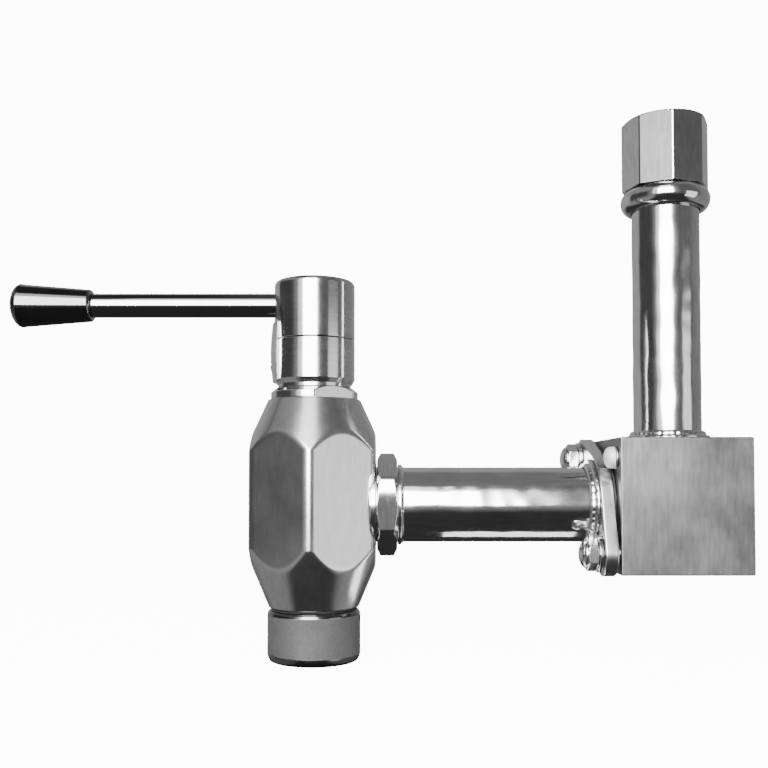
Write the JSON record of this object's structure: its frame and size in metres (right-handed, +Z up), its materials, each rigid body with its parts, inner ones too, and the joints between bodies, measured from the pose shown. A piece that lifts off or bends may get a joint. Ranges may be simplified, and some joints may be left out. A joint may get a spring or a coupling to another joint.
{
  "type": "plug valve",
  "caption": "Angle plug valve with a hexagonal body, lever, side outlet pipe, square elbow block and riser ending in an octagonal coupling nut.",
  "frame": {"origin": "centre of the inlet socket's mouth", "axes": "+Z up along the stem, +X along the outlet pipe towards the elbow block, -Y the front"},
  "size_m": [0.3276, 0.0632, 0.2453],
  "materials": {
    "body_steel": "turned and milled, satin",
    "pipe_steel": "polished along the pipe",
    "block_steel": "upright brushed grain",
    "nut_steel": "bright turned",
    "weld_steel": "weld bead, brushed clean",
    "inner_steel": "ground",
    "lever_chrome": "bright chrome",
    "screw_chrome": "bright",
    "knob_plastic": "gloss black moulding",
    "seal_plastic": "white fluoroplastic",
    "seal_rubber": "black nitrile",
    "bronze": "turned bronze",
    "copper": "soft copper washer"
  },
  "bodies": {
    "valve": {"valve_body": "body_steel", "inlet_socket": "body_steel", "bonnet": "body_steel", "stop_strip": "body_steel", "outlet_pipe": "pipe_steel", "riser_pipe": "pipe_steel", "elbow_block": "block_steel", "outlet_flange": "nut_steel", "seal_washer": "nut_steel", "flange_weld": "weld_steel", "riser_weld": "weld_steel", "disc_spring": "inner_steel", "gland_nut": "inner_steel", "stop_screw": "inner_steel", "flange_bolt_upper": "screw_chrome", "flange_bolt_lower": "screw_chrome", "flange_washer_upper": "screw_chrome", "flange_washer_lower": "screw_chrome", "vent_screw": "screw_chrome", "plug_sleeve": "seal_plastic", "packing_ring_1": "seal_plastic", "packing_ring_2": "seal_plastic", "packing_ring_3": "seal_plastic", "inlet_gasket": "seal_rubber", "bonnet_o_ring": "seal_rubber", "flange_gasket": "seal_rubber", "riser_gasket": "seal_rubber", "gland_follower": "bronze", "vent_seal": "copper"},
    "lever": {"plug": "inner_steel", "thrust_washer": "inner_steel", "stem": "inner_steel", "stem_washer": "seal_plastic", "stem_o_ring": "seal_rubber", "lever_hub": "body_steel", "hub_washer": "inner_steel", "hub_screw": "inner_steel", "lever_rod": "lever_chrome", "lever_knob": "knob_plastic", "knob_insert": "bronze"},
    "lock_nut": {"lock_nut": "nut_steel"},
    "slip_ring": {"slip_ring": "bronze"},
    "coupling_nut": {"coupling_nut": "nut_steel"}
  },
  "joints": [
    {"name": "lever_turn", "type": "hinge", "parent": "valve", "child": "lever", "pos_m": [0, 0, 0.1607], "axis": [0, 0, 1], "range_deg": [0, 90]},
    {"name": "lock_nut_spin", "type": "hinge", "parent": "valve", "child": "lock_nut", "pos_m": [0.033, 0, 0.07], "axis": [1, 0, 0], "continuous": true},
    {"name": "coupling_slide", "type": "slide", "parent": "valve", "child": "slip_ring", "axis": [0, 0, 1], "range_m": [-0.098, 0]},
    {"name": "coupling_spin", "type": "hinge", "parent": "slip_ring", "child": "coupling_nut", "pos_m": [0.1607, 0, 0.225], "axis": [0, 0, 1], "continuous": true}
  ]
}
